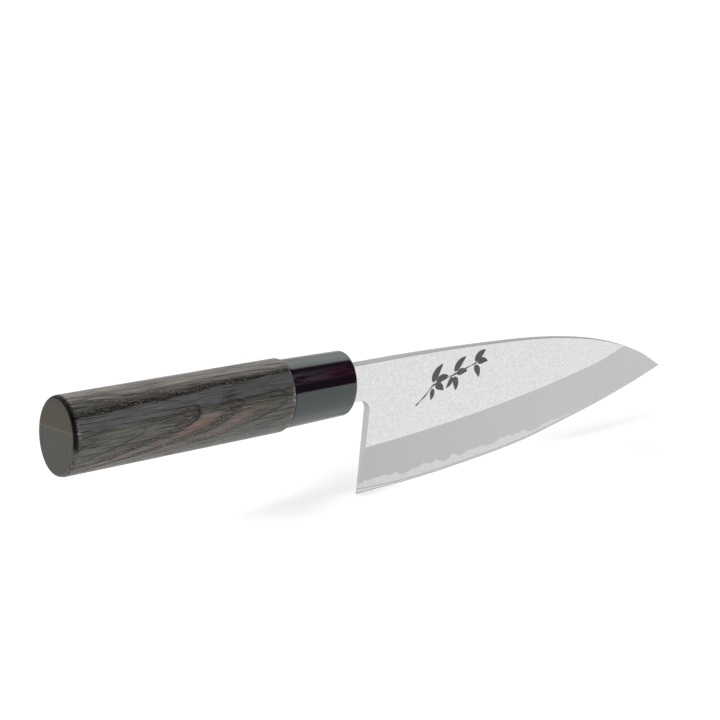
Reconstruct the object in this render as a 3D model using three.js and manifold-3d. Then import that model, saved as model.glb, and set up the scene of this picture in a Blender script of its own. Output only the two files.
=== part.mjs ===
// Japanese-style boning knife: a broad single-bevel blade on an oval wooden handle.
//
// Units are millimetres. The origin is the centre of the handle's flat butt face. +X runs along the
// handle axis to the blade tip, +Z goes up to the spine (the cutting edge points down), and +Y is
// the side of the blade's flat back. The bevelled face looks to -Y.

import * as THREE from 'three';
import { mergeVertices } from 'three/addons/utils/BufferGeometryUtils.js';
import Module from 'manifold-3d';

const wasm = await Module();
wasm.setup();

// Handle: an oval wooden grip and a slightly smaller black ferrule.
const GRIP_LENGTH = 90.5;
const FERRULE_LENGTH = 28.7;
const OVAL_RATIO = 0.8; // width over height of every handle section
const GRIP_REAR_HALF_HEIGHT = 13.65;
const GRIP_FRONT_HALF_HEIGHT = 13.35;
const BUTT_ROUND = { axial: 1.9, radial: 1.0 };
const GRIP_FRONT_ROUND = { axial: 1.2, radial: 1.0 };
const FERRULE_REAR_HALF_HEIGHT = 12.55;
const FERRULE_FRONT_HALF_HEIGHT = 12.05;
const FERRULE_REAR_ROUND = { axial: 0.3, radial: 0.3 };
const FERRULE_FRONT_ROUND = { axial: 1.1, radial: 1.0 };

// Inside the handle: a dowel ties the ferrule to the grip, and resin holds the end of the tang.
const DOWEL_RADIUS = 7;
const DOWEL_START = 66;
const DOWEL_LENGTH = 44;
const TANG_BORE_RADIUS = 5.5;
const TANG_BORE_START = 32;
const FIT_GAP = 0.3; // clearance between a piece and the neighbour it is cut to fit
const GLUE_LINE = 0.05; // between the grip and the ferrule

// Blade: a plate with a neck and a hidden tang, ground on its front face only.
const PLATE_THICKNESS = 3.8;
const BACK_Y = PLATE_THICKNESS / 2; // plane of the flat back
const HEEL_X = 133.4;
const NECK_TOP = 6.5;
const NECK_BOTTOM = -7.4;
const NECK_END_BOTTOM = -8;
const HEEL_FILLET_RADIUS = 5;
const HEEL_LEAN = 0.8; // the heel line leans forward by this much on its way down
const TANG_SHOULDER_X = 112;
const NECK_START_X = 113;
const TANG_FRONT_HALF_HEIGHT = 4.6;
const TANG_END_X = 38;
const TANG_END_HALF_HEIGHT = 2.4;
const TANG_END_TAPER = 2;
const EDGE_THICKNESS = 0.15;
const FLAT_TAPER = 0.015; // thickness lost per millimetre below the spine
const HARD_STEEL_THICKNESS = 0.65; // the hard layer on the back
const HARD_STEEL_START_X = 127;

// Heights along the blade, as [x, z] points that a smooth line joins.
const SPINE = [[119.2, 6.5], [155, 6.25], [190, 5.1], [220, 3.35], [245, 0.1], [265, -4.5], [285, -11.6],
  [301, -20.2]];
const EDGE = [[133.4, -46.9], [160, -46.4], [190, -44.3], [220, -40.9], [243, -36.2], [266, -30.8],
  [285, -25.5], [301, -20.2]];
const BEVEL_TOP = [[133.4, -27.1], [161, -25.6], [186, -23.5], [212.5, -20.3], [239.5, -16.1],
  [260.5, -11.9], [273, -7.8], [300, 1]];
// Plate thickness at the spine, as [x, thickness] points.
const SPINE_THICKNESS = [[106, 3.9], [145, 3.6], [172, 3], [200, 2.65], [225, 2.4], [275, 1.8], [306, 1.4]];

const TIP_X = EDGE.at(-1)[0];

// Mouth seal: a bead set in a shallow recess around the neck.
const SEAL_WALL = 0.9;
const SEAL_DEPTH = 1.7;
const SEAL_PROUD = 0.4;

// Cutting shapes reach past what they cut: by OVERCUT, and in front of the blade to these limits.
const OVERCUT = 5;
const CUT_LOW_Z = -60;
const CUT_HIGH_Z = 20;
const CUT_FRONT_Y = -12;

// Fineness of round shapes.
const OVAL_SEGMENTS = 72;
const BORE_SEGMENTS = 40;
const ROUND_STEPS = 6;
const BLADE_STEPS = 48;

// A smooth height at x through [x, value] points, carried on in a straight line past both ends.
function valueAt(points, x) {
  const last = points.length - 1;
  const slope = (i) => {
    const before = points[Math.max(i - 1, 0)];
    const after = points[Math.min(i + 1, last)];
    return (after[1] - before[1]) / (after[0] - before[0]);
  };
  if (x <= points[0][0]) return points[0][1] + slope(0) * (x - points[0][0]);
  if (x >= points[last][0]) return points[last][1] + slope(last) * (x - points[last][0]);
  const i = points.findIndex((point) => point[0] > x) - 1;
  const span = points[i + 1][0] - points[i][0];
  const t = (x - points[i][0]) / span;
  const startWeight = (1 + 2 * t) * (1 - t) ** 2;
  const endWeight = t * t * (3 - 2 * t);
  const startSlopeWeight = t * (1 - t) ** 2 * span;
  const endSlopeWeight = t * t * (t - 1) * span;
  return startWeight * points[i][1] + endWeight * points[i + 1][1]
    + startSlopeWeight * slope(i) + endSlopeWeight * slope(i + 1);
}

function stations(from, to, steps) {
  return Array.from({ length: steps + 1 }, (_, i) => from + ((to - from) * i) / steps);
}

// Closed geometry to solid and back, so that solids can be joined and cut.
function solidOf(geometry) {
  const bare = geometry.clone();
  bare.deleteAttribute('normal');
  bare.deleteAttribute('uv');
  const merged = mergeVertices(bare, 1e-4);
  return new wasm.Manifold(new wasm.Mesh({
    numProp: 3,
    vertProperties: new Float32Array(merged.attributes.position.array),
    triVerts: new Uint32Array(merged.index.array),
  }));
}

function geometryOf(solid) {
  const { vertProperties, triVerts } = solid.getMesh();
  const geometry = new THREE.BufferGeometry();
  geometry.setAttribute('position', new THREE.BufferAttribute(vertProperties, 3));
  geometry.setIndex(new THREE.BufferAttribute(triVerts, 1));
  geometry.computeVertexNormals();
  return geometry;
}

// An oval bar along +X from x = 0, with rounded ends.
function ovalBar(length, rearHalfHeight, frontHalfHeight, rearRound, frontRound) {
  const rear = stations(0, Math.PI / 2, ROUND_STEPS).map((angle) => new THREE.Vector2(
    rearHalfHeight - rearRound.radial * (1 - Math.sin(angle)),
    rearRound.axial * (1 - Math.cos(angle)),
  ));
  const front = stations(Math.PI / 2, 0, ROUND_STEPS).map((angle) => new THREE.Vector2(
    frontHalfHeight - frontRound.radial * (1 - Math.sin(angle)),
    length - frontRound.axial * (1 - Math.cos(angle)),
  ));
  const profile = [new THREE.Vector2(0, 0), ...rear, ...front, new THREE.Vector2(0, length)];
  const bar = new THREE.LatheGeometry(profile, OVAL_SEGMENTS);
  return bar.rotateZ(-Math.PI / 2).rotateX(Math.PI / 2).scale(1, OVAL_RATIO, 1);
}

function rodAlongX(radius, from, to) {
  const rod = new THREE.CylinderGeometry(radius, radius, to - from, BORE_SEGMENTS);
  return rod.rotateZ(Math.PI / 2).translate((from + to) / 2, 0, 0);
}

// A block around the neck's section, grown by `margin` on every side.
function neckBlock(from, to, margin) {
  const block = new THREE.BoxGeometry(to - from, PLATE_THICKNESS + 2 * margin,
    NECK_TOP - NECK_BOTTOM + 2 * margin);
  return block.translate((from + to) / 2, 0, (NECK_TOP + NECK_BOTTOM) / 2);
}

// The outline of blade, neck and tang, seen from the front and grown by `margin` around the tang.
function bladeOutline(margin = 0) {
  const outline = new THREE.Shape();
  const bladeXs = stations(SPINE[0][0], TIP_X, BLADE_STEPS);
  const edgeXs = stations(HEEL_X + HEEL_LEAN, TIP_X, BLADE_STEPS).reverse().slice(1);
  outline.moveTo(TANG_END_X - margin, 0);
  outline.lineTo(TANG_END_X + TANG_END_TAPER - margin, TANG_END_HALF_HEIGHT + margin);
  outline.lineTo(TANG_SHOULDER_X, TANG_FRONT_HALF_HEIGHT + margin);
  outline.lineTo(NECK_START_X, NECK_TOP);
  bladeXs.forEach((x) => outline.lineTo(x, valueAt(SPINE, x)));
  edgeXs.forEach((x) => outline.lineTo(x, valueAt(EDGE, x)));
  outline.lineTo(HEEL_X, NECK_END_BOTTOM - HEEL_FILLET_RADIUS);
  outline.absarc(HEEL_X - HEEL_FILLET_RADIUS, NECK_END_BOTTOM - HEEL_FILLET_RADIUS, HEEL_FILLET_RADIUS,
    0, Math.PI / 2);
  outline.lineTo(SPINE[0][0], NECK_BOTTOM);
  outline.lineTo(NECK_START_X, NECK_BOTTOM);
  outline.lineTo(TANG_SHOULDER_X, -TANG_FRONT_HALF_HEIGHT - margin);
  outline.lineTo(TANG_END_X + TANG_END_TAPER - margin, -TANG_END_HALF_HEIGHT - margin);
  outline.closePath();
  return outline;
}

// The outline as a plate, its back at BACK_Y + margin and its front parallel to it.
function bladePlate(margin = 0) {
  const plate = new THREE.ExtrudeGeometry(bladeOutline(margin), {
    depth: PLATE_THICKNESS + 2 * margin,
    bevelEnabled: false,
    curveSegments: 2 * ROUND_STEPS,
  });
  return plate.rotateX(Math.PI / 2).translate(0, BACK_Y + margin, 0);
}

// Everything in front of a ground face, where thicknessAt(x, z) is the metal left behind it.
function frontCutter(fromX, toX, thicknessAt) {
  const positions = [];
  const index = [];
  const xs = stations(fromX, toX, BLADE_STEPS);
  xs.forEach((x) => {
    positions.push(x, BACK_Y - thicknessAt(x, CUT_LOW_Z), CUT_LOW_Z);
    positions.push(x, BACK_Y - thicknessAt(x, CUT_HIGH_Z), CUT_HIGH_Z);
    positions.push(x, CUT_FRONT_Y, CUT_HIGH_Z);
    positions.push(x, CUT_FRONT_Y, CUT_LOW_Z);
  });
  for (let i = 0; i < BLADE_STEPS; i += 1) {
    for (let side = 0; side < 4; side += 1) {
      const a = 4 * i + side;
      const b = 4 * i + ((side + 1) % 4);
      index.push(a, b, b + 4, a, b + 4, a + 4);
    }
  }
  const end = 4 * BLADE_STEPS;
  index.push(0, 2, 1, 0, 3, 2, end, end + 1, end + 2, end, end + 2, end + 3);
  const geometry = new THREE.BufferGeometry();
  geometry.setAttribute('position', new THREE.Float32BufferAttribute(positions, 3));
  geometry.setIndex(index);
  return geometry;
}

function flatThickness(x, z) {
  return valueAt(SPINE_THICKNESS, x) - FLAT_TAPER * (valueAt(SPINE, x) - z);
}

function bevelThickness(x, z) {
  const edgeZ = valueAt(EDGE, x);
  const topZ = valueAt(BEVEL_TOP, x);
  const rise = (flatThickness(x, topZ) - EDGE_THICKNESS) / (topZ - edgeZ);
  return EDGE_THICKNESS + rise * (z - edgeZ);
}

function groundBlade() {
  const flatCut = solidOf(frontCutter(NECK_START_X, TIP_X + OVERCUT, flatThickness));
  const bevelCut = solidOf(frontCutter(HEEL_X - OVERCUT, TIP_X + OVERCUT, bevelThickness));
  return solidOf(bladePlate()).subtract(flatCut).subtract(bevelCut);
}

// The zone on the back of the blade that is hard steel.
function hardSteelZone() {
  const length = TIP_X + OVERCUT - HARD_STEEL_START_X;
  const zone = new THREE.BoxGeometry(length, 2 * OVERCUT, CUT_HIGH_Z - CUT_LOW_Z);
  const middleY = BACK_Y - HARD_STEEL_THICKNESS + OVERCUT;
  const middleZ = (CUT_HIGH_Z + CUT_LOW_Z) / 2;
  return solidOf(zone.translate(HARD_STEEL_START_X + length / 2, middleY, middleZ));
}

function namedMesh(name, geometry, color, roughness, metalness) {
  const mesh = new THREE.Mesh(geometry, new THREE.MeshStandardMaterial({ color, roughness, metalness }));
  mesh.name = name;
  return mesh;
}

function buildBlade() {
  const blade = new THREE.Group();
  const ground = groundBlade();
  const body = geometryOf(ground.subtract(hardSteelZone()));
  const edgeSteel = geometryOf(ground.intersect(hardSteelZone()));
  blade.add(namedMesh('blade_body', body, 0xb4b7ba, 0.35, 1));
  blade.add(namedMesh('edge_steel', edgeSteel, 0xcfd2d4, 0.3, 1));
  return blade;
}

function buildGrip() {
  const bar = ovalBar(GRIP_LENGTH, GRIP_REAR_HALF_HEIGHT, GRIP_FRONT_HALF_HEIGHT, BUTT_ROUND,
    GRIP_FRONT_ROUND);
  const dowelBore = rodAlongX(DOWEL_RADIUS + FIT_GAP, DOWEL_START - FIT_GAP, GRIP_LENGTH + OVERCUT);
  const tangBore = rodAlongX(TANG_BORE_RADIUS, TANG_BORE_START, DOWEL_START + OVERCUT);
  const grip = solidOf(bar).subtract(solidOf(dowelBore)).subtract(solidOf(tangBore));
  return namedMesh('handle_grip', geometryOf(grip), 0x5c554e, 0.3, 0);
}

function buildFerrule() {
  const bar = ovalBar(FERRULE_LENGTH - GLUE_LINE, FERRULE_REAR_HALF_HEIGHT, FERRULE_FRONT_HALF_HEIGHT,
    FERRULE_REAR_ROUND, FERRULE_FRONT_ROUND).translate(GRIP_LENGTH + GLUE_LINE, 0, 0);
  const front = GRIP_LENGTH + FERRULE_LENGTH;
  const dowelEnd = DOWEL_START + DOWEL_LENGTH;
  const dowelBore = rodAlongX(DOWEL_RADIUS + FIT_GAP, GRIP_LENGTH - OVERCUT, dowelEnd + FIT_GAP);
  const slot = neckBlock(dowelEnd - FIT_GAP, front + OVERCUT, FIT_GAP);
  const sealRecess = neckBlock(front - SEAL_DEPTH - FIT_GAP, front + OVERCUT, 2 * FIT_GAP + SEAL_WALL);
  const ferrule = [dowelBore, slot, sealRecess].reduce(
    (solid, cutter) => solid.subtract(solidOf(cutter)),
    solidOf(bar),
  );
  return namedMesh('ferrule', geometryOf(ferrule), 0x141315, 0.12, 0);
}

function buildDowel(tangRoom) {
  const rod = rodAlongX(DOWEL_RADIUS, DOWEL_START, DOWEL_START + DOWEL_LENGTH);
  return namedMesh('core_dowel', geometryOf(solidOf(rod).subtract(tangRoom)), 0xcbb38a, 0.8, 0);
}

function buildResin(tangRoom) {
  const plug = rodAlongX(TANG_BORE_RADIUS - FIT_GAP, TANG_BORE_START + FIT_GAP, DOWEL_START - FIT_GAP);
  return namedMesh('tang_resin', geometryOf(solidOf(plug).subtract(tangRoom)), 0xb59a5e, 0.4, 0);
}

function buildSeal() {
  const front = GRIP_LENGTH + FERRULE_LENGTH;
  const outer = neckBlock(front - SEAL_DEPTH, front + SEAL_PROUD, FIT_GAP + SEAL_WALL);
  const inner = neckBlock(front - SEAL_DEPTH - OVERCUT, front + SEAL_PROUD + OVERCUT, FIT_GAP);
  return namedMesh('mouth_seal', geometryOf(solidOf(outer).subtract(solidOf(inner))), 0x1d1c1b, 0.6, 0);
}

function buildHandle() {
  const handle = new THREE.Group();
  const tangRoom = solidOf(bladePlate(FIT_GAP));
  handle.add(buildGrip(), buildFerrule(), buildDowel(tangRoom), buildResin(tangRoom), buildSeal());
  return handle;
}

const knife = new THREE.Group();
knife.add(buildHandle(), buildBlade());

export default knife;
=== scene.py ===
"""Finished look of the boning knife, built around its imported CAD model.

Lengths are millimetres until a mesh is written or the camera is placed, which turns them into
metres. The lights are placed in metres, and so is the camera's clipping range.
The frame is the part's own: +X from the butt to the blade tip, +Z up to the spine, and -Y the
side that the bevelled face looks to.
"""

import math

import bmesh
import bpy
import numpy as np
from mathutils import Matrix, Vector, noise


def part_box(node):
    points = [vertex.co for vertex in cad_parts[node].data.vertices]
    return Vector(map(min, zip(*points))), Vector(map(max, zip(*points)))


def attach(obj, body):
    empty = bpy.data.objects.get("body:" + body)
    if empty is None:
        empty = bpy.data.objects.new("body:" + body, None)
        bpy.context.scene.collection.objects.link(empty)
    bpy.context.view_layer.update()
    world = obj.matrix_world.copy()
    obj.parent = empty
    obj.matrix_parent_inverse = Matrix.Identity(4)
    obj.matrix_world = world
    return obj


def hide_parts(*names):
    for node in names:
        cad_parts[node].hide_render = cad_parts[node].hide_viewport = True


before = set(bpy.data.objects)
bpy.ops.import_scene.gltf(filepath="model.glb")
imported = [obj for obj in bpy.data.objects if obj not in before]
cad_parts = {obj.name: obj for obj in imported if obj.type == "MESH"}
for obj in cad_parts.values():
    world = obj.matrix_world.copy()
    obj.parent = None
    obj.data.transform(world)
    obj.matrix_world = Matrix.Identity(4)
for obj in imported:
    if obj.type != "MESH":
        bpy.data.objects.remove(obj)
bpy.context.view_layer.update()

MM = 0.001

# ---------------------------------------------------------------- sizes taken from the frame


def box_mm(node):
    low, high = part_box(node)
    return np.array(low) / MM, np.array(high) / MM


GRIP_HIGH = box_mm("handle_grip")[1]
FERRULE_LOW, FERRULE_HIGH = box_mm("ferrule")
STEEL_LOW, STEEL_HIGH = box_mm("edge_steel")

GRIP_END = GRIP_HIGH[0]
FERRULE_END = FERRULE_HIGH[0]
BACK_Y = STEEL_HIGH[1]
HARD_STEEL_START = STEEL_LOW[0]
TIP_X = STEEL_HIGH[0]
FLOOR_Z = STEEL_LOW[2]

# ---------------------------------------------------------------- the blade's shape, as in the CAD

SPINE = [(119.2, 6.5), (155, 6.25), (190, 5.1), (220, 3.35), (245, 0.1), (265, -4.5), (285, -11.6),
         (301, -20.2)]
EDGE = [(133.4, -46.9), (160, -46.4), (190, -44.3), (220, -40.9), (243, -36.2), (266, -30.8),
        (285, -25.5), (301, -20.2)]
BEVEL_TOP = [(133.4, -27.1), (161, -25.6), (186, -23.5), (212.5, -20.3), (239.5, -16.1),
             (260.5, -11.9), (273, -7.8), (300, 1)]
SPINE_THICKNESS = [(106, 3.9), (145, 3.6), (172, 3), (200, 2.65), (225, 2.4), (275, 1.8), (306, 1.4)]
FLAT_TAPER = 0.015

HEEL_X = 133.4
HEEL_LEAN = 0.8
NECK_BOTTOM = -7.4
NECK_END_BOTTOM = -8.0
FILLET_RADIUS = 5.0
HEEL_TOP = NECK_END_BOTTOM - FILLET_RADIUS
TANG_SHOULDER_X = 112.0
TANG_FRONT_HALF_HEIGHT = 4.6
TANG_END_X = 38.0
TANG_END_HALF_HEIGHT = 2.4
PLATE_THICKNESS = 3.8

# Height of the bright hard-steel band above the edge, which fades out towards the tip.
BAND = [(134, 4.7), (148, 4.5), (190, 4.7), (214, 4.4), (232, 3.2), (252, 1.4), (300, 1.1)]
BAND_WAVE = 1.2
SECOND_BEVEL = [(133.4, 2.0), (141, 1.5), (152, 1.05), (175, 0.85), (300, 0.7)]
SECOND_BEVEL_EDGE = 0.03
# Height of two painted dark lines of shade: one along the very edge, one above the second bevel.
DARK_LINE_HEIGHT = 0.28
MAIN_BEVEL_EDGE = 0.15
CORNER_RADIUS = 0.07
HOLLOW_DEPTH = 0.2


def value_at(points, x):
    """Smooth heights at x through the points, carried on straight past both ends."""
    px, pv = (np.array(column, float) for column in zip(*points))
    x = np.asarray(x, float)
    ahead = np.append(np.arange(1, len(px)), len(px) - 1)
    behind = np.insert(np.arange(len(px) - 1), 0, 0)
    slope = (pv[ahead] - pv[behind]) / (px[ahead] - px[behind])
    i = np.clip(np.searchsorted(px, x, side="right") - 1, 0, len(px) - 2)
    span = px[i + 1] - px[i]
    t = np.clip((x - px[i]) / span, 0, 1)
    smooth = ((1 + 2 * t) * (1 - t) ** 2 * pv[i] + t * t * (3 - 2 * t) * pv[i + 1]
              + t * (1 - t) ** 2 * span * slope[i] + t * t * (t - 1) * span * slope[i + 1])
    return smooth + slope[0] * np.minimum(x - px[0], 0) + slope[-1] * np.maximum(x - px[-1], 0)


def slope_at(points, x):
    return value_at(points, x + 0.5) - value_at(points, x - 0.5)


def ripple(x, seed, scale=1.0):
    """Smooth seeded noise along a line, about -1 to 1."""
    values = [noise.noise(Vector((v / scale, seed, 0.37 * seed))) for v in np.ravel(x)]
    return np.array(values).reshape(np.shape(x))


def top_height(x):
    """Upper outline: tang, shoulder, neck and spine."""
    tang = np.interp(x, [TANG_END_X, TANG_SHOULDER_X], [TANG_END_HALF_HEIGHT, TANG_FRONT_HALF_HEIGHT])
    neck = np.interp(x, [TANG_SHOULDER_X, TANG_SHOULDER_X + 1], [TANG_FRONT_HALF_HEIGHT, SPINE[0][1]])
    return np.where(x < TANG_SHOULDER_X, tang, np.where(x < SPINE[0][0], neck, value_at(SPINE, x)))


def neck_bottom(x):
    """Lower outline behind the heel: tang, shoulder, neck and the fillet that turns into the heel."""
    tang = -np.interp(x, [TANG_END_X, TANG_SHOULDER_X], [TANG_END_HALF_HEIGHT, TANG_FRONT_HALF_HEIGHT])
    shoulder = np.interp(x, [TANG_SHOULDER_X, TANG_SHOULDER_X + 1, SPINE[0][0], HEEL_X - FILLET_RADIUS],
                         [-TANG_FRONT_HALF_HEIGHT, NECK_BOTTOM, NECK_BOTTOM, NECK_END_BOTTOM])
    past = np.clip(x - (HEEL_X - FILLET_RADIUS), 0, FILLET_RADIUS)
    fillet = HEEL_TOP + np.sqrt(FILLET_RADIUS ** 2 - past ** 2)
    return np.where(x < TANG_SHOULDER_X, tang, np.where(past > 0, fillet, shoulder))


def band_height(x):
    base = value_at(BAND, x)
    peaks = 0.7 - 2.6 * np.abs(ripple(x, 8.4, 6.0))
    wave = 0.7 * ripple(x, 3.1, 9.0) + peaks + 0.45 * ripple(x, 6.2, 1.8)
    lowest = value_at(SECOND_BEVEL, x) + DARK_LINE_HEIGHT + 0.05
    fade = np.clip((base - lowest) / 2, 0, 1)
    return np.maximum(base + BAND_WAVE * wave * fade, lowest)


def flat_thickness(x, z):
    return value_at(SPINE_THICKNESS, x) - FLAT_TAPER * (value_at(SPINE, x) - z)


def main_bevel_thickness(x, z):
    edge, top = value_at(EDGE, x), value_at(BEVEL_TOP, x)
    rise = (flat_thickness(x, top) - MAIN_BEVEL_EDGE) / (top - edge)
    return MAIN_BEVEL_EDGE + rise * (z - edge)


def ground_thickness(x, z):
    """Metal between the front face and the plane of the back, without rounded corners."""
    above = z - value_at(EDGE, x)
    second_height = value_at(SECOND_BEVEL, x)
    start = main_bevel_thickness(x, value_at(EDGE, x) + second_height)
    second = SECOND_BEVEL_EDGE + (start - SECOND_BEVEL_EDGE) * above / second_height
    ground = np.minimum(np.minimum(flat_thickness(x, z), main_bevel_thickness(x, z)), second)
    return np.where(x < HEEL_X - 8, np.minimum(flat_thickness(x, z), PLATE_THICKNESS), ground)


def heel_outline():
    """Points along the neck's underside, the fillet and the heel, for measuring distance to them."""
    turn = np.linspace(math.pi / 2, 0, 13)
    arc = [(HEEL_X - FILLET_RADIUS * (1 - math.cos(a)), HEEL_TOP + FILLET_RADIUS * math.sin(a))
           for a in turn]
    return np.array([(TANG_SHOULDER_X + 1, NECK_BOTTOM), (SPINE[0][0], NECK_BOTTOM), *arc,
                     (HEEL_X + HEEL_LEAN, EDGE[0][1] - 2)])


def distance_to_line(points, x, z):
    """Distance of each (x, z) to an open polyline."""
    nearest = np.full(np.shape(x), 1e9)
    for start, end in zip(points[:-1], points[1:]):
        along = end - start
        t = np.clip(((x - start[0]) * along[0] + (z - start[1]) * along[1]) / (along @ along), 0, 1)
        gap = np.hypot(x - start[0] - t * along[0], z - start[1] - t * along[1])
        nearest = np.minimum(nearest, gap)
    return nearest


def outline_distance(x, z):
    spine_gap = np.abs(top_height(x) - z) / np.sqrt(1 + slope_at(SPINE, x) ** 2)
    return np.minimum(spine_gap, distance_to_line(heel_outline(), x, z))


def corner_inset(gap, radius):
    """How far a rounded corner falls back from its face, at a distance from the outline."""
    inside = np.clip(radius - gap, 0, radius)
    return radius - np.sqrt(radius ** 2 - inside ** 2)


def smoothstep(value):
    t = np.clip(value, 0, 1)
    return t * t * (3 - 2 * t)


def front_y(x, z):
    radius = CORNER_RADIUS * (1 + 0.7 * ripple(x, 5.5, 1.3))
    thickness = ground_thickness(x, z)
    inset = corner_inset(outline_distance(x, z), np.minimum(radius, 0.45 * thickness))
    return BACK_Y - thickness + inset


def layer_y(x, z):
    """Plane between the soft body and the hard steel, which meets the bevel along the band's top."""
    line = value_at(EDGE, x) + band_height(np.maximum(x, HEEL_X))
    depth = ground_thickness(np.maximum(x, HEEL_X), line)
    return BACK_Y - np.broadcast_to(depth, np.shape(z))


def back_y(x, z):
    """The back: flat along its rim and neck, with a shallow hollow between."""
    edge_gap = (z - value_at(EDGE, x)) / np.sqrt(1 + slope_at(EDGE, x) ** 2)
    gap = np.minimum(outline_distance(x, z), edge_gap)
    hollow = HOLLOW_DEPTH * smoothstep((gap - 2.5) / 7) * smoothstep((x - HEEL_X - 2) / 8)
    inset = corner_inset(outline_distance(x, z), np.minimum(0.3, 0.4 * ground_thickness(x, z)))
    return BACK_Y - hollow - inset


# ---------------------------------------------------------------- mesh helpers


def make_object(name, points, faces, materials=(), slots=None, smooth=True):
    mesh = bpy.data.meshes.new(name)
    mesh.from_pydata([tuple(p) for p in np.asarray(points) * MM], [], faces)
    for material in materials:
        mesh.materials.append(material)
    if slots is not None:
        mesh.polygons.foreach_set("material_index", slots)
    mesh.polygons.foreach_set("use_smooth", [smooth] * len(mesh.polygons))
    obj = bpy.data.objects.new(name, mesh)
    bpy.context.scene.collection.objects.link(obj)
    return obj


def tidy_mesh(obj, sharp_angle):
    """Joins coincident points, turns all faces outward and marks the real corners as sharp."""
    bm = bmesh.new()
    bm.from_mesh(obj.data)
    bmesh.ops.remove_doubles(bm, verts=bm.verts, dist=2e-7)
    bmesh.ops.dissolve_degenerate(bm, edges=bm.edges, dist=1e-7)
    bmesh.ops.recalc_face_normals(bm, faces=bm.faces)
    for edge in bm.edges:
        edge.smooth = not (len(edge.link_faces) == 2 and edge.calc_face_angle(0) > sharp_angle)
    bm.to_mesh(obj.data)
    bm.free()


def set_piece(obj, node):
    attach(obj, "root")
    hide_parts(node)
    return obj


# ---------------------------------------------------------------- materials


def add_node(tree, kind, inputs=None, **properties):
    """A new node. Each input is another node's output, which is linked, or a plain value."""
    node = tree.nodes.new(kind)
    for name, value in properties.items():
        setattr(node, name, value)
    for key, value in (inputs or {}).items():
        if isinstance(value, bpy.types.NodeSocket):
            tree.links.new(value, node.inputs[key])
        else:
            node.inputs[key].default_value = value
    return node


class Nodes:
    """A short way to write a material's node tree."""

    def __init__(self, name):
        self.material = bpy.data.materials.new(name)
        self.material.use_nodes = True
        self.tree = self.material.node_tree
        self.shader = self.tree.nodes["Principled BSDF"]

    def set(self, **values):
        for name, value in values.items():
            self.shader.inputs[name.replace("_", " ")].default_value = value
        return self

    def add(self, kind, inputs=None, **properties):
        return add_node(self.tree, kind, inputs, **properties)

    def link(self, output, name):
        self.tree.links.new(output, self.shader.inputs[name])

    def place(self, stretch=(1, 1, 1)):
        """Object coordinates in millimetres, multiplied along each axis."""
        where = self.add("ShaderNodeTexCoord").outputs["Object"]
        scaled = self.add("ShaderNodeMapping", {"Vector": where})
        scaled.inputs["Scale"].default_value = tuple(s / MM for s in stretch)
        return scaled.outputs["Vector"]

    def noise(self, vector, scale, detail=3.0, roughness=0.5, distortion=0.0):
        node = self.add("ShaderNodeTexNoise", {"Vector": vector, "Scale": scale, "Detail": detail,
                                               "Roughness": roughness, "Distortion": distortion})
        return node.outputs["Fac"]

    def math(self, operation, a, b=0.0):
        return self.add("ShaderNodeMath", {0: a, 1: b}, operation=operation).outputs[0]

    def plus(self, a, b):
        return self.math("ADD", a, b)

    def minus(self, a, b):
        return self.math("SUBTRACT", a, b)

    def times(self, a, b):
        return self.math("MULTIPLY", a, b)

    def largest(self, *values):
        found = values[0]
        for value in values[1:]:
            found = self.math("MAXIMUM", found, value)
        return found

    def split(self):
        """x, y and z in millimetres."""
        return self.add("ShaderNodeSeparateXYZ", {0: self.place()}).outputs

    def turn_around(self, y, z):
        """Angle around the handle, 0 at its front and a quarter turn at its top."""
        return self.math("ARCTAN2", z, self.times(y, -1.25))

    def ramp(self, factor, *stops):
        """Colours or greys at positions between 0 and 1."""
        node = self.add("ShaderNodeValToRGB", {"Fac": factor})
        elements = node.color_ramp.elements
        while len(elements) < len(stops):
            elements.new(0.5)
        for element, (position, colour) in zip(elements, stops):
            element.position = position
            grey = (colour,) * 3 if isinstance(colour, (int, float)) else colour
            element.color = (*grey, 1)
        return node.outputs["Color"]

    def mix(self, factor, a, b, blend="MIX"):
        node = self.add("ShaderNodeMix", data_type="RGBA", blend_type=blend)
        for index, value in ((0, factor), (6, a), (7, b)):
            if isinstance(value, bpy.types.NodeSocket):
                self.tree.links.new(value, node.inputs[index])
            else:
                node.inputs[index].default_value = value if index == 0 else (*value, 1)
        return node.outputs[2]

    def bump(self, height, distance, strength=1.0, below=None):
        inputs = {"Height": height, "Distance": distance * MM, "Strength": strength}
        if below is not None:
            inputs["Normal"] = below
        return self.add("ShaderNodeBump", inputs).outputs["Normal"]


def steel(name, tone, roughness, speckle=0.0, speckle_size=1.3, lines=0.0, line_axis=0, bump=0.0,
          painted_tip_gain=1.0):
    """Steel with a mottled tone and fine grinding lines. A gain above 1 paints it that many times as
    bright toward the tip, which is painted light.
    """
    nodes = Nodes(name).set(Metallic=1.0, Roughness=roughness)
    here = nodes.place()
    mottle = nodes.noise(here, 1 / speckle_size, 2.5, 0.6)
    stretch = [1.6, 1.6, 1.6]
    stretch[line_axis] = 0.05
    hair = nodes.noise(nodes.place(stretch), 1.0, 3, 0.7)
    low, high = tone * (1 - speckle), tone * (1 + speckle)
    colour = nodes.ramp(mottle, (0.25, (low, low, low * 1.005)), (0.75, (high, high, high * 0.995)))
    streaked = nodes.mix(lines, colour, nodes.ramp(hair, (0.3, 0.55), (0.7, 1.0)), "MULTIPLY")
    # Painted light: the colour brightens toward the tip.
    if painted_tip_gain != 1.0:
        along = nodes.times(nodes.split()[0], 1 / TIP_X)
        gain = nodes.ramp(along, (140 / TIP_X, 1.0), (230 / TIP_X, painted_tip_gain))
        streaked = nodes.mix(1.0, streaked, gain, "MULTIPLY")
    nodes.link(streaked, "Base Color")
    rough = nodes.plus(nodes.times(mottle, 0.12), roughness - 0.06)
    nodes.link(rough, "Roughness")
    if bump:
        relief = nodes.bump(mottle, bump)
        nodes.link(nodes.bump(hair, bump * 0.3, 0.5, relief), "Normal")
    return nodes.material


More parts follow.
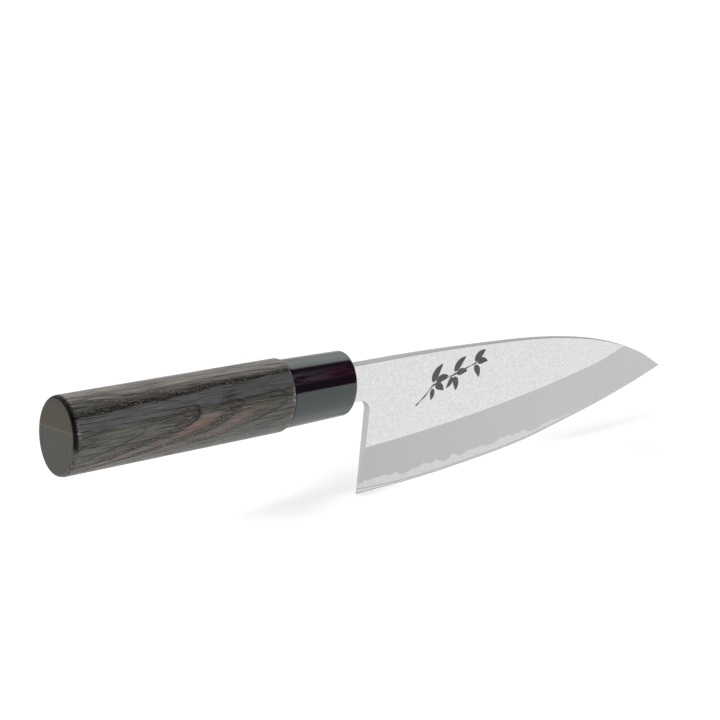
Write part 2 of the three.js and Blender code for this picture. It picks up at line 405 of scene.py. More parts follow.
STEEL_FLAT = steel("steel_flat", 0.66, 0.42, speckle=0.14, speckle_size=1.0, bump=0.2)
# The bevel is painted brighter toward the tip, as painted light.
STEEL_BEVEL = steel("steel_bevel", 0.41, 0.36, speckle=0.015, speckle_size=9, lines=0.12, line_axis=2,
                    painted_tip_gain=1.07)
STEEL_BAND = steel("steel_band", 0.52, 0.36, speckle=0.07, speckle_size=1.6)
STEEL_SECOND = steel("steel_second_bevel", 0.52, 0.26, speckle=0.02)
# Painted shade: dark steel for the thin lines along the very edge and above the second bevel.
STEEL_EDGE_SHADE = steel("steel_painted_shade", 0.18, 0.35)
STEEL_HEEL = steel("steel_heel", 0.43, 0.42, speckle=0.04)
STEEL_SPINE = steel("steel_spine", 0.35, 0.46, speckle=0.04, lines=0.15, line_axis=0)
STEEL_BACK = steel("steel_back", 0.70, 0.34, speckle=0.02, speckle_size=6, lines=0.2, line_axis=0)

# ---------------------------------------------------------------- blade

LOWER_ROWS = 24
HEEL_ROWS = 14
UPPER_ROWS = 24
BAND_ROWS = 5
BLADE_STATIONS = 230
# Shares of a corner's size, from its face to its outline.
CORNER_STEPS = (1.0, 0.62, 0.33, 0.12, 0.0)
CORNER_SIZE = 0.5
TIP_CORNER_SIZE = 0.12
# The surfaces of a blade plate.
FRONT, BACK, RIM, HEEL = range(4)


# Where the heel's top sits between the bevel's top and the spine's corner.
HEEL_BEVEL_TOP = BEVEL_TOP[0][1]
HEEL_SHARE = (HEEL_TOP - HEEL_BEVEL_TOP) / (value_at(SPINE, HEEL_X) - CORNER_SIZE - HEEL_BEVEL_TOP)


def blade_rows(x):
    """Heights of the grid's rows at x, from the edge to the spine, for stations at or past the heel."""
    edge, top = value_at(EDGE, x), value_at(SPINE, x)
    height = top - edge
    upper = top - float(value_at(BEVEL_TOP, x))
    corner = min(CORNER_SIZE, 0.25 * height, max(TIP_CORNER_SIZE, 0.1 * upper))
    band = min(float(band_height(x)), 0.4 * height)
    second = min(float(value_at(SECOND_BEVEL, x)), 0.8 * band)
    # Height of the painted shade lines at the edge and above the second bevel.
    dark_line = min(DARK_LINE_HEIGHT, 0.2 * band)
    bevel_top = min(float(value_at(BEVEL_TOP, x)), top - 1.6 * corner)
    bevel_top = max(bevel_top, edge + 0.6 * height) if height < 8 else bevel_top
    rows = [edge, edge + dark_line, edge + second, edge + second + 0.8 * dark_line]
    rows += list(np.linspace(rows[-1], edge + band, BAND_ROWS + 1)[1:])
    rows += list(np.linspace(edge + band, bevel_top, LOWER_ROWS + 1)[1:])
    flat_top = top - corner
    split = bevel_top + HEEL_SHARE * (flat_top - bevel_top)
    rows += list(np.linspace(bevel_top, split, HEEL_ROWS + 1)[1:])
    near = [split + (1 - c) * min(corner, 0.2 * (flat_top - split)) for c in CORNER_STEPS[1:]]
    rows += near
    rows += list(np.linspace(near[-1], flat_top, UPPER_ROWS + 1)[1:])
    rows += [top - corner * c for c in CORNER_STEPS[1:]]
    return np.array(rows)


BAND_ROW = 3 + BAND_ROWS
BEVEL_ROW = BAND_ROW + LOWER_ROWS
HEEL_ROW = BEVEL_ROW + HEEL_ROWS
CORNER_ROW = HEEL_ROW + len(CORNER_STEPS) - 1 + UPPER_ROWS


def neck_rows(x):
    """Heights of the rows from HEEL_ROW up, for stations behind the heel."""
    low, top = float(neck_bottom(x)), float(top_height(x))
    near = [low + (1 - c) * CORNER_SIZE for c in CORNER_STEPS[1:]]
    between = list(np.linspace(near[-1], top - CORNER_SIZE, UPPER_ROWS + 1)[1:])
    return np.array([low, *near, *between, *[top - CORNER_SIZE * c for c in CORNER_STEPS[1:]]])


def blade_stations(start):
    """x of the grid's columns: those behind the heel, and those from the heel on."""
    tang = [TANG_END_X + 2, 60, 90, TANG_SHOULDER_X, TANG_SHOULDER_X + 1, 116]
    neck = list(np.arange(SPINE[0][0], HEEL_X - FILLET_RADIUS, 0.75))
    turn = np.linspace(0, math.pi / 2, 13)[:-1]
    fillet = [HEEL_X - FILLET_RADIUS + FILLET_RADIUS * math.sin(a) for a in turn]
    behind = [start] + [x for x in tang + neck + fillet if x > start + 0.05]
    close = [HEEL_X + CORNER_SIZE * (1 - c) for c in CORNER_STEPS]
    ahead = close + list(np.linspace(HEEL_X + CORNER_SIZE, TIP_X, BLADE_STATIONS)[1:])
    return behind, ahead


def blade_plate(name, start, first_row, front, back, face_material, materials):
    """A closed plate between two faces given as functions of x and z.

    Its grid has one column of points per station. Stations behind the heel hold only the rows from
    HEEL_ROW up. face_material(side, row) gives the material of each face.
    """
    behind, ahead = blade_stations(start)
    columns = []
    for x in behind:
        columns.append((x, HEEL_ROW, neck_rows(x)))
    for x in ahead:
        columns.append((x, first_row, blade_rows(x)[first_row:]))
    points, index = [], []
    for x, low_row, heights in columns:
        lean = HEEL_LEAN * np.clip((HEEL_TOP - heights) / (HEEL_TOP - EDGE[0][1]), 0, 1)
        fade = max(0.0, 1 - (x - HEEL_X) / 12) if x >= HEEL_X else 0.0
        xs = x + lean * fade
        faces_y = [np.asarray(side(xs, heights), float) for side in (front, back)]
        ids = {}
        for side, ys in enumerate(faces_y):
            for offset, (px, py, pz) in enumerate(zip(xs, ys, heights)):
                ids[side, low_row + offset] = len(points)
                points.append((px, py, pz))
        index.append(ids)
    last_row = columns[0][1] + len(columns[0][2]) - 1
    faces, slots = [], []

    def quad(side, row, *corners):
        faces.append(corners)
        slots.append(materials.index(face_material(side, row)))

    for here, there, column in zip(index[:-1], index[1:], columns[:-1]):
        low_row = column[1]
        for row in range(low_row, last_row):
            for side in (FRONT, BACK):
                quad(side, row, here[side, row], there[side, row],
                     there[side, row + 1], here[side, row + 1])
        for row in (low_row, last_row):
            quad(RIM, row, here[0, row], there[0, row], there[1, row], here[1, row])
    heel = index[len(behind)]
    for row in range(first_row, HEEL_ROW):
        quad(HEEL, row, heel[0, row], heel[0, row + 1], heel[1, row + 1], heel[1, row])
    for ids, low_row in ((index[0], columns[0][1]), (index[-1], first_row)):
        for row in range(low_row, last_row):
            quad(RIM, row, ids[0, row], ids[0, row + 1], ids[1, row + 1], ids[1, row])
    return make_object(name, points, faces, materials, slots)


def body_back(x, z):
    """The soft body's back: bare behind the hard steel, and under it from there on."""
    return np.where(x < HARD_STEEL_START - 1e-6, back_y(x, z), layer_y(x, z))


def build_blade():
    def body_material(side, row):
        if side == HEEL or side == RIM and row == HEEL_ROW:
            return STEEL_HEEL
        if side == RIM or row >= CORNER_ROW + 2:
            return STEEL_SPINE
        return STEEL_FLAT if row >= BEVEL_ROW else STEEL_BEVEL

    body = blade_plate("blade_body_fine", TANG_END_X, BAND_ROW, front_y, body_back, body_material,
                       [STEEL_FLAT, STEEL_BEVEL, STEEL_SPINE, STEEL_HEEL])
    tidy_mesh(body, math.radians(30))
    set_piece(body, "blade_body")

    def steel_front(x, z):
        line = value_at(EDGE, x) + band_height(np.maximum(x, HEEL_X))
        return np.where(z > line - 1e-6, layer_y(x, z), front_y(x, z))

    def steel_material(side, row):
        if side == HEEL or side == RIM and row == HEEL_ROW:
            return STEEL_HEEL
        if side == RIM or row >= CORNER_ROW + 2:
            return STEEL_SPINE
        if side == BACK:
            return STEEL_BACK
        if row >= 3:
            return STEEL_BAND
        # Rows 0 and 2 are painted shade: thin dark lines along the very edge and above the second
        # bevel.
        return STEEL_SECOND if row == 1 else STEEL_EDGE_SHADE

    hard = blade_plate("edge_steel_fine", HARD_STEEL_START, 0, steel_front, back_y, steel_material,
                       [STEEL_BAND, STEEL_SECOND, STEEL_SPINE, STEEL_BACK, STEEL_EDGE_SHADE, STEEL_HEEL])
    tidy_mesh(hard, math.radians(30))
    set_piece(hard, "edge_steel")
    return body, hard


# ---------------------------------------------------------------- etched sprig

# Leaves of the etched sprig: x and z of the base, direction in degrees, length and width.
LEAVES = [(186.5, -1.5, 62, 6.5, 3.3), (187.5, -2, 20, 5.5, 2.6), (186, -3, -38, 6.0, 2.7),
          (176, -4, 68, 7.5, 3.2), (177, -5, 24, 5.5, 2.7), (175.5, -6, -52, 6.0, 2.8),
          (174.5, -5.5, -100, 5.0, 2.3), (165, -6.5, 80, 8.0, 3.4), (166.5, -7, 38, 6.5, 3.0),
          (166, -8, -8, 5.5, 2.8), (164.5, -9, -70, 4.5, 2.4)]
STALK = [(157, -14.5), (161, -11.5), (165, -7.5), (170, -6.2), (176, -4.8), (181, -3.5), (187, -1.8)]


def stroke(points, faces, path, half_widths):
    """A closed, lens-shaped ribbon along a path of (x, z), a little proud of the flat."""
    path = np.asarray(path, float)
    along = np.gradient(path, axis=0)
    along /= np.linalg.norm(along, axis=1, keepdims=True)
    side = np.column_stack([-along[:, 1], along[:, 0]])
    first = len(points)
    for (x, z), (sx, sz), half in zip(path, side, half_widths):
        rows = ((x + half * sx, z + half * sz, 0.0), (x, z, 0.02),
                (x - half * sx, z - half * sz, 0.0), (x, z, -0.05))
        points.extend((px, float(front_y(px, pz)) - 0.004 - out, pz) for px, pz, out in rows)
    for i in range(len(path) - 1):
        for j in range(4):
            here, there = first + 4 * i, first + 4 * (i + 1)
            faces.append((here + j, here + (j + 1) % 4, there + (j + 1) % 4, there + j))
    for end in (first, first + 4 * (len(path) - 1)):
        faces.append((end, end + 1, end + 2, end + 3))


def build_sprig():
    points, faces = [], []
    t = np.linspace(0, 1, 13)
    for x, z, angle, length, width in LEAVES:
        bend = np.radians(angle) - 0.5 * (t - 0.3)
        path = np.column_stack([x + length * t * np.cos(bend), z + length * t * np.sin(bend)])
        stroke(points, faces, path, 0.04 + width / 2 * np.sin(math.pi * t ** 0.75) ** 0.8)
    stalk = np.array(STALK, float)
    share = np.linspace(0, len(STALK) - 1, 40)
    path = np.column_stack([np.interp(share, range(len(STALK)), stalk[:, i]) for i in (0, 1)])
    stroke(points, faces, path, 0.30 + 0.12 * np.cos(2 * math.pi * share))
    nodes = Nodes("etched_grey").set(Roughness=0.6, Specular_IOR_Level=0.3)
    cloud = nodes.noise(nodes.place(), 0.9, 3)
    grey = nodes.ramp(cloud, (0.3, (0.055, 0.055, 0.057)), (0.7, (0.085, 0.085, 0.088)))
    nodes.link(grey, "Base Color")
    sprig = make_object("etched_sprig", points, faces, [nodes.material])
    tidy_mesh(sprig, math.radians(50))
    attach(sprig, "root")


# ---------------------------------------------------------------- handle

OVAL_POINTS = 192
BUTT_ROUND = 1.9
BUTT_SHARES = (0.25, 0.5, 0.75, 0.93)
FRONT_ROUND = 1.3
DOWEL_RADIUS = 7.35
DOWEL_DEPTH = 23
FERRULE_ROUND = 0.9
MOUTH_GAP = 0.9

# The wood's growth rings: where their pith lies, how it slants, and how far apart they are.
PITH_Y = 45.0
PITH_Z = -9.4
RING_SLANT = 0.08
RING_START = 51.73
RING_SPACING = 1.5
RING_WANDER = 1.3


def oval_ring(x, half_width, half_height):
    turn = np.linspace(0, 2 * math.pi, OVAL_POINTS, endpoint=False)
    return np.column_stack([np.full(OVAL_POINTS, x), half_width * np.cos(turn),
                            half_height * np.sin(turn)])


def slot_ring(x, half_width, low, high):
    """A rounded slot's outline with as many points as an oval, matched by direction."""
    turn = np.linspace(0, 2 * math.pi, OVAL_POINTS, endpoint=False)
    middle, half_height = (low + high) / 2, (high - low) / 2
    power = 6.0
    size = (np.abs(np.cos(turn)) ** power + np.abs(np.sin(turn)) ** power) ** (-1 / power)
    return np.column_stack([np.full(OVAL_POINTS, x), half_width * size * np.cos(turn),
                            middle + half_height * size * np.sin(turn)])


def loft(name, rings, materials, slot_of_band, close_start=True, close_end=True):
    """A skin over rings of points; a closed end comes to a point at the ring's centre."""
    points = [tuple(p) for ring in rings for p in ring]
    count = len(rings[0])
    faces, slots = [], []
    for i in range(len(rings) - 1):
        for j in range(count):
            k = (j + 1) % count
            faces.append((i * count + j, i * count + k, (i + 1) * count + k, (i + 1) * count + j))
            slots.append(slot_of_band(i))
    for closed, ring_number in ((close_start, 0), (close_end, len(rings) - 1)):
        if closed:
            centre = len(points)
            points.append(tuple(np.mean(rings[ring_number], axis=0)))
            for j in range(count):
                faces.append((ring_number * count + j, ring_number * count + (j + 1) % count, centre))
                slots.append(slot_of_band(0 if ring_number == 0 else len(rings) - 2))
    return make_object(name, points, faces, materials, slots)


def wood_material():
    """Scorched, open-pored wood under a clear coat. Its rings make nested arches on the front."""
    nodes = Nodes("burnt_wood").set(Roughness=0.5, Specular_IOR_Level=0.15)
    nodes.set(Coat_Roughness=0.12, Coat_IOR=1.5)
    x, y, z = nodes.split()
    turn = nodes.turn_around(y, z)
    wander = nodes.noise(nodes.place((0.03, 0.12, 0.12)), 1.0, 3, 0.55)

    # Growth rings around a pith that lies behind the handle and slants away from it.
    pith = nodes.plus(nodes.times(x, -RING_SLANT), PITH_Y)
    across = nodes.minus(pith, y)
    up = nodes.minus(z, PITH_Z)
    reach = nodes.math("SQRT", nodes.plus(nodes.times(across, across), nodes.times(up, up)))
    wobble = nodes.times(nodes.minus(wander, 0.5), RING_WANDER)
    depth = nodes.plus(nodes.minus(reach, RING_START), wobble)
    ring = nodes.math("FRACT", nodes.math("DIVIDE", depth, RING_SPACING))

    # A smooth bluish band runs along the front, a painted reflection of the light around it, with a
    # dark line below it. Above it runs a band of burnt pores that is partly painted shade.
    climb = nodes.plus(nodes.times(x, 0.0036), 0.36)
    middle = nodes.plus(nodes.times(wander, 0.3), climb)
    from_middle = nodes.plus(nodes.minus(turn, middle), 0.5)
    # Painted reflection: where a bluish reflected light is painted into the wood's colour.
    painted_band_reflection = nodes.ramp(from_middle, (0.18, 0.0), (0.28, 0.7), (0.58, 0.75), (0.65, 0.0))
    band_edge = nodes.ramp(from_middle, (0.12, 0.0), (0.17, 0.7), (0.22, 0.0))
    # Partly painted shade: a band of burnt pores, darkened where the overhead reflection ends.
    char_and_shade_band = nodes.ramp(from_middle, (0.63, 0.0), (0.68, 0.95), (0.76, 0.85), (0.9, 0.0))
    plain = nodes.minus(1.0, painted_band_reflection)

    fibre = nodes.noise(nodes.place((0.07, 2.6, 2.6)), 1.0, 3, 0.65)
    strands = nodes.noise(nodes.place((0.035, 1.5, 1.5)), 1.0, 2, 0.5)
    specks = nodes.noise(nodes.place((1.0, 2.9, 2.9)), 1.0, 2, 0.6)
    slit_noise = nodes.noise(nodes.place((0.07, 3.6, 3.6)), 1.0, 2, 0.5)
    slits = nodes.ramp(slit_noise, (0.55, 0.0), (0.61, 1.0))

    # Each ring starts with a dark outline and a porous stretch, strongest on two of the arches.
    few = nodes.ramp(nodes.times(depth, 0.1), (0.0, 0.45), (0.01, 1.0), (0.22, 1.0), (0.3, 0.25))
    below = nodes.ramp(turn, (0.0, 1.0), (0.15, 0.0))
    pores = nodes.ramp(ring, (0.0, 1.0), (0.34, 1.0), (0.5, 0.0))
    ring_start = nodes.ramp(ring, (0.0, 1.0), (0.12, 0.0), (0.94, 0.0), (1.0, 1.0))
    porous = nodes.times(nodes.times(pores, plain), few)
    outline = nodes.times(nodes.times(ring_start, plain), nodes.largest(few, below))

    # Reddish stripes between the arches, and over the top a paler brown with fibres, painted paler as a
    # highlight from the light above.
    stripe_depth = nodes.times(nodes.plus(depth, 1.5), 0.1)
    stripes = nodes.ramp(stripe_depth, (0.04, 0.0), (0.07, 0.75), (0.115, 0.75), (0.14, 0.1),
                         (0.19, 0.3), (0.215, 1.0), (0.28, 1.0), (0.32, 0.05))
    patches = nodes.ramp(nodes.noise(nodes.place((0.05, 0.25, 0.25)), 1.0, 2), (0.4, 0.45), (0.6, 1.0))
    low_side = nodes.ramp(turn, (0.0, 1.0), (0.4, 0.0))
    reddish = nodes.times(nodes.times(patches, stripes), low_side)
    # Painted highlight: where the top is painted paler, as if lit from above.
    upper = nodes.ramp(nodes.times(turn, 0.5), (0.53, 0.0), (0.62, 1.0))

    smooth = nodes.mix(reddish, (0.058, 0.058, 0.049), (0.128, 0.080, 0.060))
    # The painted reflection's bluish colour.
    smooth = nodes.mix(painted_band_reflection, smooth, (0.072, 0.076, 0.094))
    smooth = nodes.mix(1.0, smooth, nodes.ramp(fibre, (0.3, 0.5), (0.7, 1.35)), "MULTIPLY")
    speckled = nodes.ramp(specks, (0.36, (0.004, 0.004, 0.003)), (0.5, (0.036, 0.034, 0.029)),
                          (0.68, (0.115, 0.106, 0.092)))
    # Burnt pores with painted shade: nearly black, with light specks painted in as highlights on the
    # pore walls.
    char_and_shade_colour = nodes.ramp(specks, (0.54, (0.002, 0.001, 0.001)), (0.72, (0.160, 0.146, 0.128)))
    # Partly painted highlight: the paler, fibrous brown of the top.
    pale = nodes.ramp(strands, (0.41, (0.008, 0.005, 0.003)), (0.47, (0.070, 0.056, 0.045)),
                      (0.62, (0.140, 0.112, 0.090)))
    wood = nodes.mix(porous, smooth, speckled)
    wood = nodes.mix(char_and_shade_band, wood, char_and_shade_colour)
    wood = nodes.mix(nodes.times(upper, 0.85), wood, pale)
    broken_edge = nodes.times(band_edge, nodes.ramp(fibre, (0.4, 1.0), (0.6, 0.2)))
    dark = nodes.largest(nodes.times(slits, 0.8), nodes.times(outline, 0.9), broken_edge)
    wood = nodes.mix(dark, wood, (0.002, 0.001, 0.001))
    wood = nodes.mix(1.0, wood, (1.05, 1.0, 0.93), "MULTIPLY")

    # Painted dark reflection: the butt's rounded rim is darkened nearly to black, except low down,
    # where it is left lighter as if it reflected the floor. Painted highlights: bright specks near both
    # ends, on the upper side at the butt and the lower side at the front end.
    high = nodes.ramp(nodes.times(z, 0.1), (0.0, 0.2), (0.3, 1.0))
    rim_reflects_floor = nodes.ramp(nodes.times(z, -0.1), (0.0, 0.0), (0.3, 1.0))
    away = nodes.ramp(nodes.times(x, 0.1), (0.1, 0.03), (0.2, 1.0))
    # The rim's painted dark reflection, which also thins the coat there.
    rim = nodes.largest(away, rim_reflects_floor)
    wood = nodes.mix(1.0, wood, rim, "MULTIPLY")
    butt_end = nodes.ramp(nodes.times(x, 0.1), (0.11, 0.0), (0.15, 1.0), (0.2, 1.0), (0.3, 0.0))
    front_end = nodes.ramp(nodes.times(x, 0.01), (0.882, 0.0), (0.89, 1.0))
    front_low = nodes.ramp(nodes.times(turn, 0.5), (0.3, 1.0), (0.4, 0.2))
    ends = nodes.largest(nodes.times(butt_end, high), nodes.times(front_end, front_low))
    # Painted highlights: light specks painted into the colour near the ends.
    painted_glints = nodes.ramp(specks, (0.57, 0.0), (0.65, 1.0))
    painted_glints = nodes.times(painted_glints, nodes.ramp(wander, (0.42, 0.2), (0.55, 1.0)))
    nodes.link(nodes.mix(nodes.times(ends, painted_glints), wood, (0.38, 0.37, 0.34)), "Base Color")

    open_pores = nodes.largest(nodes.times(porous, 0.6), dark, char_and_shade_band)
    coat = nodes.minus(0.85, nodes.times(open_pores, 0.6))
    nodes.link(nodes.times(coat, rim), "Coat Weight")
    relief = nodes.plus(nodes.times(nodes.times(porous, specks), 1.6), nodes.times(fibre, 0.35))
    relief = nodes.minus(relief, nodes.times(dark, 0.5))
    nodes.link(nodes.bump(relief, 0.18), "Normal")
    nodes.link(nodes.bump(relief, 0.11), "Coat Normal")
    return nodes.material


def end_grain_material():
    """The butt's face: a brownish upper piece and a greenish, lined lower one, with a seam between."""
    nodes = Nodes("burnt_end_grain").set(Roughness=0.5, Specular_IOR_Level=0.2)
    nodes.set(Coat_Weight=0.15, Coat_Roughness=0.2)
    y, z = nodes.split()[1:]
    wander = nodes.noise(nodes.place((1, 0.25, 0.05)), 1.0, 3, 0.6)
    across = nodes.plus(nodes.times(y, 0.33), nodes.times(wander, 1.6))
    line = nodes.ramp(nodes.math("FRACT", across), (0.4, 0.0), (0.47, 1.0), (0.54, 0.0))
    dots = nodes.noise(nodes.place((1, 3, 3)), 1.0, 2, 0.5)
    rise = nodes.plus(z, nodes.times(y, 0.164))
    share = nodes.plus(nodes.times(rise, 0.05), 0.36)
    upper = nodes.ramp(share, (0.49, 0.0), (0.52, 1.0))
    tone = nodes.mix(upper, (0.035, 0.035, 0.028), (0.030, 0.022, 0.012))
    tone = nodes.mix(nodes.times(dots, 0.5), tone, (0.016, 0.014, 0.010))
    seam = nodes.ramp(share, (0.465, 0.0), (0.49, 0.9), (0.515, 0.0))
    tone = nodes.mix(seam, tone, (0.080, 0.044, 0.028))
    lines = nodes.times(line, nodes.minus(0.8, nodes.times(upper, 0.7)))
    nodes.link(nodes.mix(lines, tone, (0.010, 0.008, 0.006)), "Base Color")
    nodes.link(nodes.bump(dots, 0.03), "Normal")
    return nodes.material


def black_material():
    """Glossy black, with a painted reflection: a smoky, faintly purple cloud painted along the front,
    above the middle.
    """
    nodes = Nodes("ferrule_black").set(Roughness=0.07, IOR=1.62)
    nodes.set(Specular_Tint=(0.84, 1.0, 1.0, 1))
    haze = nodes.noise(nodes.place((0.08, 0.3, 0.3)), 1.0, 3)
    nodes.link(nodes.bump(haze, 0.02, 0.3), "Normal")
    x, y, z = nodes.split()
    cloud = nodes.noise(nodes.place((0.12, 0.7, 0.7)), 1.0, 2)
    # Painted reflection: where the smoky purple is painted into the black.
    zone = nodes.ramp(nodes.turn_around(y, z), (0.5, 0.0), (0.6, 1.0), (0.82, 1.0), (0.95, 0.0))
    painted_reflection_mask = nodes.times(zone, nodes.ramp(cloud, (0.38, 0.0), (0.6, 1.0)))
    share = nodes.math("DIVIDE", x, 120.0)
    purple = nodes.ramp(share, (0.77, (0.036, 0.032, 0.042)), (0.93, (0.030, 0.008, 0.018)))
    nodes.link(nodes.mix(painted_reflection_mask, (0.007, 0.004, 0.006), purple), "Base Color")
    return nodes.material


def quarter_round(count=7):
    """(axial, radial) shares of a rounded end, from its face to its side."""
    turn = np.linspace(0, math.pi / 2, count)
    return [(1 - math.cos(a), math.sin(a)) for a in turn]


def build_grip():
    rear = np.array([GRIP_HIGH[1], GRIP_HIGH[2]])
    front = rear * 0.978
    face = rear - np.array([0.94, 0.9])
    rings = [oval_ring(0, *(face * share)) for share in BUTT_SHARES]
    rings += [oval_ring(BUTT_ROUND * axial, *(face + (rear - face) * radial))
              for axial, radial in quarter_round(9)]
    along = np.linspace(BUTT_ROUND, GRIP_END - FRONT_ROUND, 150)[1:]
    for x in along:
        size = rear + (front - rear) * (x / GRIP_END)
        rings.append(oval_ring(x, *size))
    for axial, radial in quarter_round(8)[::-1][1:]:
        rings.append(oval_ring(GRIP_END - FRONT_ROUND * axial, *(front - 1.1 + 1.1 * radial)))
    rings.append(oval_ring(GRIP_END, DOWEL_RADIUS, DOWEL_RADIUS))
    rings.append(oval_ring(GRIP_END - DOWEL_DEPTH, DOWEL_RADIUS, DOWEL_RADIUS))
    grip = loft("handle_grip_fine", rings, [wood_material(), end_grain_material()],
                lambda band: 1 if band < len(BUTT_SHARES) else 0)
    tidy_mesh(grip, math.radians(40))
    return set_piece(grip, "handle_grip")


def build_ferrule():
    rear = np.array([FERRULE_HIGH[1], FERRULE_HIGH[2]])
    front = rear * 0.96
    start = FERRULE_LOW[0]
    rings = [oval_ring(start + 4, DOWEL_RADIUS, DOWEL_RADIUS),
             oval_ring(start, DOWEL_RADIUS, DOWEL_RADIUS), oval_ring(start, *(rear - 0.3))]
    rings += [oval_ring(start + 0.3 * axial, *(rear - 0.3 + 0.3 * radial))
              for axial, radial in quarter_round(4)[1:]]
    for x in np.linspace(start + 0.3, FERRULE_END - FERRULE_ROUND, 40)[1:]:
        size = rear + (front - rear) * ((x - start) / (FERRULE_END - start))
        rings.append(oval_ring(x, *size))
    rings += [oval_ring(FERRULE_END - FERRULE_ROUND * axial, *(front - FERRULE_ROUND * (1 - radial)))
              for axial, radial in quarter_round(9)[::-1][1:]]
    neck_low, neck_high = NECK_BOTTOM, SPINE[0][1]
    mouth = slot_ring(FERRULE_END, 2.9, neck_low - MOUTH_GAP, neck_high + MOUTH_GAP)
    for share in (0.3, 0.7, 1.0):
        rings.append(rings[-1] * (1 - share) + mouth * share)
    for depth, half_width, gap in ((1.6, 2.8, 0.8), (8, 2.2, 0.3)):
        rings.append(slot_ring(FERRULE_END - depth, half_width, neck_low - gap, neck_high + gap))
    ferrule = loft("ferrule_fine", rings, [black_material()], lambda band: 0)
    tidy_mesh(ferrule, math.radians(40))
    return set_piece(ferrule, "ferrule")


def build_seal():
    neck_low, neck_high = NECK_BOTTOM, SPINE[0][1]
    profile = [(-1.4, 0.0), (0.28, 0.02), (0.42, 0.25), (0.36, 0.6), (0.1, 0.92), (-0.1, 0.97),
               (-1.4, 0.8)]
    rings = []
    for forward, out in profile:
        rings.append(slot_ring(FERRULE_END + forward, BACK_Y + out, neck_low - out, neck_high + out))
    rings.append(rings[0])
    nodes = Nodes("seal").set(Roughness=0.55)
    grain = nodes.noise(nodes.place(), 2.0, 3)
    black = nodes.ramp(grain, (0.3, (0.012, 0.011, 0.010)), (0.7, (0.022, 0.020, 0.018)))
    nodes.link(black, "Base Color")
    nodes.link(nodes.bump(grain, 0.05), "Normal")
    seal = loft("mouth_seal_fine", rings, [nodes.material], lambda band: 0, False, False)
    tidy_mesh(seal, math.radians(50))
    return set_piece(seal, "mouth_seal")


def dress_hidden_nodes():
    """Materials for the pieces inside the handle, which keep their CAD shape."""
    dowel = Nodes("dowel_wood").set(Roughness=0.75)
    grain = dowel.noise(dowel.place((0.08, 1.6, 1.6)), 1.0, 4, 0.6)
    dowel.link(dowel.ramp(grain, (0.3, (0.42, 0.30, 0.17)), (0.7, (0.62, 0.49, 0.31))), "Base Color")
    dowel.link(dowel.bump(grain, 0.08), "Normal")
    resin = Nodes("resin").set(Roughness=0.25, IOR=1.55)
    cloud = resin.noise(resin.place(), 0.4, 3)
    resin.link(resin.ramp(cloud, (0.3, (0.34, 0.22, 0.08)), (0.7, (0.48, 0.34, 0.15))), "Base Color")
    for node, material in (("core_dowel", dowel.material), ("tang_resin", resin.material)):
        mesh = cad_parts[node].data
        mesh.materials.clear()
        mesh.materials.append(material)


# ---------------------------------------------------------------- studio


def build_floor():
    reach = 4000
    corners = [(x * reach, y * reach, FLOOR_Z) for x, y in ((-1, -1), (1, -1), (1, 1), (-1, 1))]
    nodes = Nodes("floor").set(Roughness=0.9)
    nodes.set(Base_Color=(0.9, 0.9, 0.9, 1), Specular_IOR_Level=0.0)
    floor = make_object("floor", corners, [(0, 1, 2, 3)], [nodes.material], smooth=False)
    floor.visible_glossy = False


def build_world():
    """White to the camera. Reflections see a pale table below, a dark room in front and a softbox
    that hangs overhead and reaches down behind."""
    world = bpy.data.worlds.new("studio")
    bpy.context.scene.world = world
    world.use_nodes = True
    tree = world.node_tree
    tree.nodes.clear()

    def add(kind, inputs=None, **properties):
        return add_node(tree, kind, inputs, **properties)

    def steps(value, low, high, *stops):
        """Grey levels along a value that runs from low to high."""
        share = add("ShaderNodeMapRange", {0: value, 1: low, 2: high}).outputs[0]
        ramp = add("ShaderNodeValToRGB", {"Fac": share})
        elements = ramp.color_ramp.elements
        while len(elements) < len(stops):
            elements.new(0.5)
        for element, (where, grey) in zip(elements, stops):
            element.position = (where - low) / (high - low)
            element.color = (grey, grey, grey, 1)
        return ramp.outputs["Color"]

    def mix(factor, first, second):
        node = add("ShaderNodeMix", {0: factor, 6: first, 7: second}, data_type="RGBA")
        return node.outputs[2]

    split = add("ShaderNodeSeparateXYZ", {0: add("ShaderNodeTexCoord").outputs["Generated"]})
    depth, height = split.outputs[1], split.outputs[2]
    along = add("ShaderNodeMath", {0: split.outputs[0], 1: depth}, operation="ADD").outputs[0]
    table = steps(height, -1, 0, (-1.0, 0.42), (-0.74, 0.56), (-0.5, 0.66), (-0.1, 0.68))
    reach = steps(along, -1.5, 1.5, (-1.0, 0.8), (-0.3, 1.0), (0.05, 1.0), (0.5, 1.15),
                  (0.8, 0.85), (1.2, 0.55))
    table = add("ShaderNodeMix", {0: 1.0, 6: table, 7: reach}, data_type="RGBA",
                blend_type="MULTIPLY").outputs[2]
    softbox = steps(height, 0, 1, (0.0, 0.42), (0.4, 0.5), (0.7, 1.02), (1.0, 1.0))
    overhead = add("ShaderNodeMath", {0: height, 1: 0.13, 2: depth},
                   operation="MULTIPLY_ADD").outputs[0]
    box_side = steps(overhead, -0.2, 0.2, (-0.03, 0.0), (0.015, 0.14), (0.05, 0.42), (0.09, 0.75),
                     (0.13, 1.0))
    room = mix(box_side, (0.012, 0.008, 0.013, 1), softbox)
    above = steps(height, -0.2, 0.2, (0.0, 0.0), (0.02, 1.0))
    reflected = mix(above, table, room)
    paths = add("ShaderNodeLightPath")
    glossy = add("ShaderNodeBackground", {"Color": reflected, "Strength": 1.95})
    ambient = add("ShaderNodeBackground", {"Color": (1, 1, 1, 1), "Strength": 0.87})
    seen = add("ShaderNodeBackground", {"Color": (1, 1, 1, 1), "Strength": 1.0})
    lit = add("ShaderNodeMixShader", {0: paths.outputs["Is Glossy Ray"],
                                      1: ambient.outputs[0], 2: glossy.outputs[0]})
    final = add("ShaderNodeMixShader", {0: paths.outputs["Is Camera Ray"],
                                        1: lit.outputs[0], 2: seen.outputs[0]})
    add("ShaderNodeOutputWorld", {"Surface": final.outputs[0]})


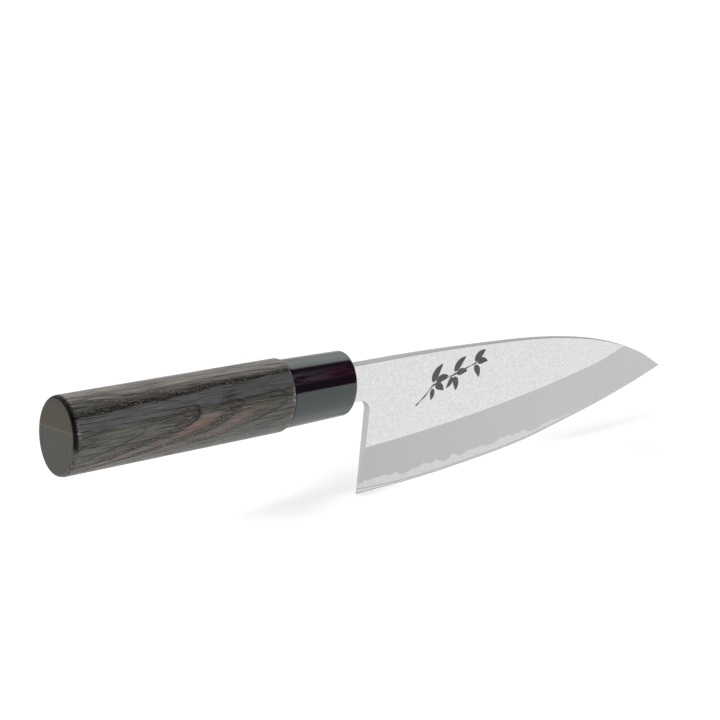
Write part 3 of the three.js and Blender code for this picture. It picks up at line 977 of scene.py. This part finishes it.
def add_light(name, kind, energy, place, aim, **sizes):
    data = bpy.data.lights.new(name, kind)
    data.energy = energy
    for key, value in sizes.items():
        setattr(data, key, value)
    light = bpy.data.objects.new(name, data)
    turn = (Vector(aim) - Vector(place)).to_track_quat("-Z", "Y").to_matrix().to_4x4()
    light.matrix_world = Matrix.Translation(place) @ turn
    light.visible_glossy = False
    light.visible_camera = False
    data.use_shadow = kind == "SUN"
    bpy.context.scene.collection.objects.link(light)


def build_lights():
    """A soft light from the butt's side, and four panels that lift parts of the floor below them."""
    add_light("soft_light", "SUN", 1.45, (-1.0, -0.15, 1.0), (0, 0, 0), angle=math.radians(20))
    add_light("butt_panel", "AREA", 0.014, (0.01, 0.01, 0.01), (0.01, 0.01, -0.05), size=0.1)
    add_light("tail_panel", "AREA", 0.005, (0.05, 0.006, -0.02), (0.05, 0.006, -0.05),
              shape="RECTANGLE", size=0.08, size_y=0.04)
    add_light("handle_panel", "AREA", 0.0075, (0.06, 0.03, -0.03), (0.06, 0.03, -0.05),
              shape="RECTANGLE", size=0.12, size_y=0.03)
    add_light("blade_panel", "AREA", 0.02, (0.187, -0.025, 0.005), (0.187, -0.025, -0.05),
              shape="RECTANGLE", size=0.11, size_y=0.03, spread=math.radians(80))


def build_camera():
    """The camera stands behind the butt, on the bevelled side and a little above, and looks
    diagonally forward at the knife."""
    azimuth, pitch, roll = (math.radians(a) for a in (42.66, 18.63, 6.17))
    place = np.array([-311.4, -476.2, 225.9])
    ahead = np.array([math.sin(azimuth) * math.cos(pitch), math.cos(azimuth) * math.cos(pitch),
                      -math.sin(pitch)])
    level = np.array([math.cos(azimuth), -math.sin(azimuth), 0])
    above = np.cross(level, ahead)
    right = math.cos(roll) * level + math.sin(roll) * above
    up = math.cos(roll) * above - math.sin(roll) * level
    data = bpy.data.cameras.new("camera")
    data.lens, data.sensor_width = 94.77, 36.0
    data.clip_start, data.clip_end = 0.01, 20
    camera = bpy.data.objects.new("camera", data)
    columns = np.column_stack([right, up, -ahead, place * MM])
    camera.matrix_world = Matrix([*[list(row) for row in columns], [0, 0, 0, 1]])
    bpy.context.scene.collection.objects.link(camera)
    bpy.context.scene.camera = camera


bpy.context.scene.view_settings.view_transform = "Standard"
build_camera()
build_world()
build_lights()
build_floor()
build_blade()
build_sprig()
build_grip()
build_ferrule()
build_seal()
dress_hidden_nodes()
